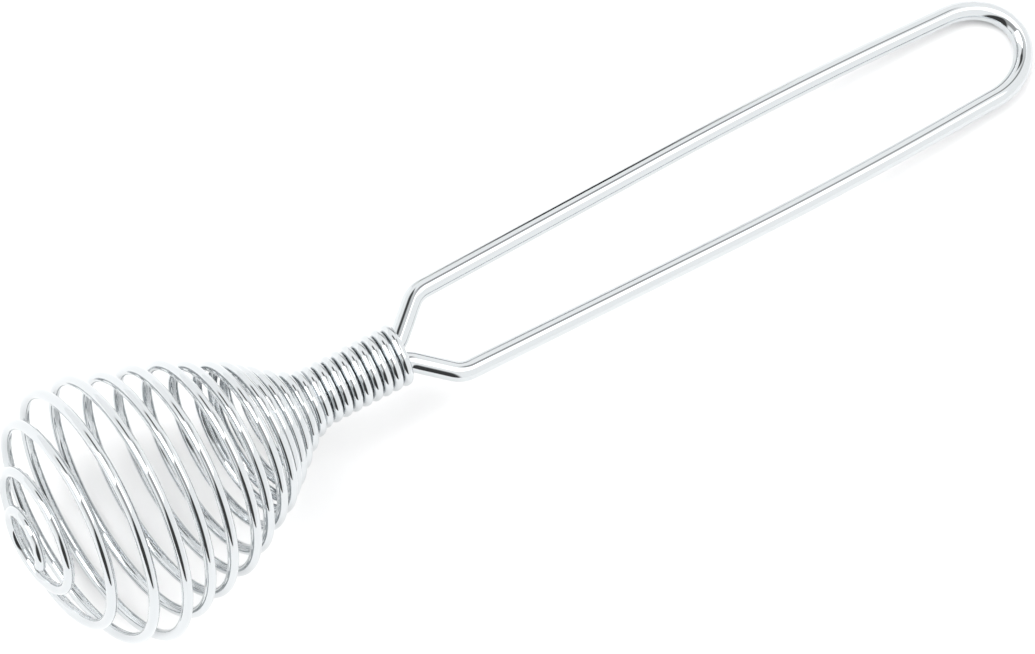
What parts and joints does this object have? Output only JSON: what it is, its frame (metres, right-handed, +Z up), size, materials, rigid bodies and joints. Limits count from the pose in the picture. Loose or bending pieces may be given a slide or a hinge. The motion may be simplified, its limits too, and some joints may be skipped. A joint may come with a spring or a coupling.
{
  "type": "balloon whisk",
  "caption": "Bakery whisk of two bright steel wires: a hairpin loop handle, and a long coil that grips it and opens into a balloon-shaped spring head.",
  "frame": {"origin": "centre of the bottom of the bounding box, on the table that the whisk lies on", "axes": "+X from the tip of the head to the loop of the handle, +Y across the handle, +Z up"},
  "size_m": [0.2014, 0.0456, 0.0454],
  "materials": {
    "handle_steel": "bright polished wire",
    "coil_steel": "bright polished wire"
  },
  "bodies": {
    "handle": {"handle_wire": "handle_steel", "coil_neck": "coil_steel", "coil_flare": "coil_steel"},
    "head_turn_9": {"coil_turn_9": "coil_steel"},
    "head_turn_8": {"coil_turn_8": "coil_steel"},
    "head_turn_7": {"coil_turn_7": "coil_steel"},
    "head_turn_6": {"coil_turn_6": "coil_steel"},
    "head_turn_5": {"coil_turn_5": "coil_steel"},
    "head_turn_4": {"coil_turn_4": "coil_steel"},
    "head_turn_3": {"coil_turn_3": "coil_steel"},
    "head_turn_2": {"coil_turn_2": "coil_steel"},
    "head_end": {"coil_turn_1": "coil_steel", "coil_tip": "coil_steel"}
  },
  "joints": [
    {"name": "side_flex", "type": "hinge", "parent": "handle", "child": "head_turn_9", "pos_m": [-0.05855, 0.00101, 0.01981], "axis": [0.1144, 0, 0.9934], "range_deg": [-4, 2], "stiffness_Nm_per_rad": 0.25},
    {"name": "nod_flex", "type": "hinge", "parent": "head_turn_9", "child": "head_turn_8", "pos_m": [-0.06123, 0.00101, 0.02012], "axis": [0, 1, 0], "range_deg": [-4, 4], "stiffness_Nm_per_rad": 0.25},
    {"name": "squeeze_7", "type": "slide", "parent": "head_turn_8", "child": "head_turn_7", "axis": [0.9934, 0, -0.1144], "range_m": [-0.00044, 0.00106]},
    {"name": "squeeze_6", "type": "slide", "parent": "head_turn_7", "child": "head_turn_6", "axis": [0.9934, 0, -0.1144], "range_m": [-0.00064, 0.00154]},
    {"name": "squeeze_5", "type": "slide", "parent": "head_turn_6", "child": "head_turn_5", "axis": [0.9934, 0, -0.1144], "range_m": [-0.00077, 0.00185]},
    {"name": "squeeze_4", "type": "slide", "parent": "head_turn_5", "child": "head_turn_4", "axis": [0.9934, 0, -0.1144], "range_m": [-0.00092, 0.00221]},
    {"name": "squeeze_3", "type": "slide", "parent": "head_turn_4", "child": "head_turn_3", "axis": [0.9934, 0, -0.1144], "range_m": [-0.001, 0.0024], "stiffness_N_per_m": 4380},
    {"name": "squeeze_2", "type": "slide", "parent": "head_turn_3", "child": "head_turn_2", "axis": [0.9934, 0, -0.1144], "range_m": [-0.00068, 0.00163]},
    {"name": "squeeze_1", "type": "slide", "parent": "head_turn_2", "child": "head_end", "axis": [0.9934, 0, -0.1144], "range_m": [-0.00023, 0.0005521]}
  ],
  "couplings": [
    {"joint": "squeeze_7", "follows": "squeeze_3", "ratio": 0.44},
    {"joint": "squeeze_6", "follows": "squeeze_3", "ratio": 0.64},
    {"joint": "squeeze_5", "follows": "squeeze_3", "ratio": 0.77},
    {"joint": "squeeze_4", "follows": "squeeze_3", "ratio": 0.92},
    {"joint": "squeeze_2", "follows": "squeeze_3", "ratio": 0.68},
    {"joint": "squeeze_1", "follows": "squeeze_3", "ratio": 0.23}
  ]
}
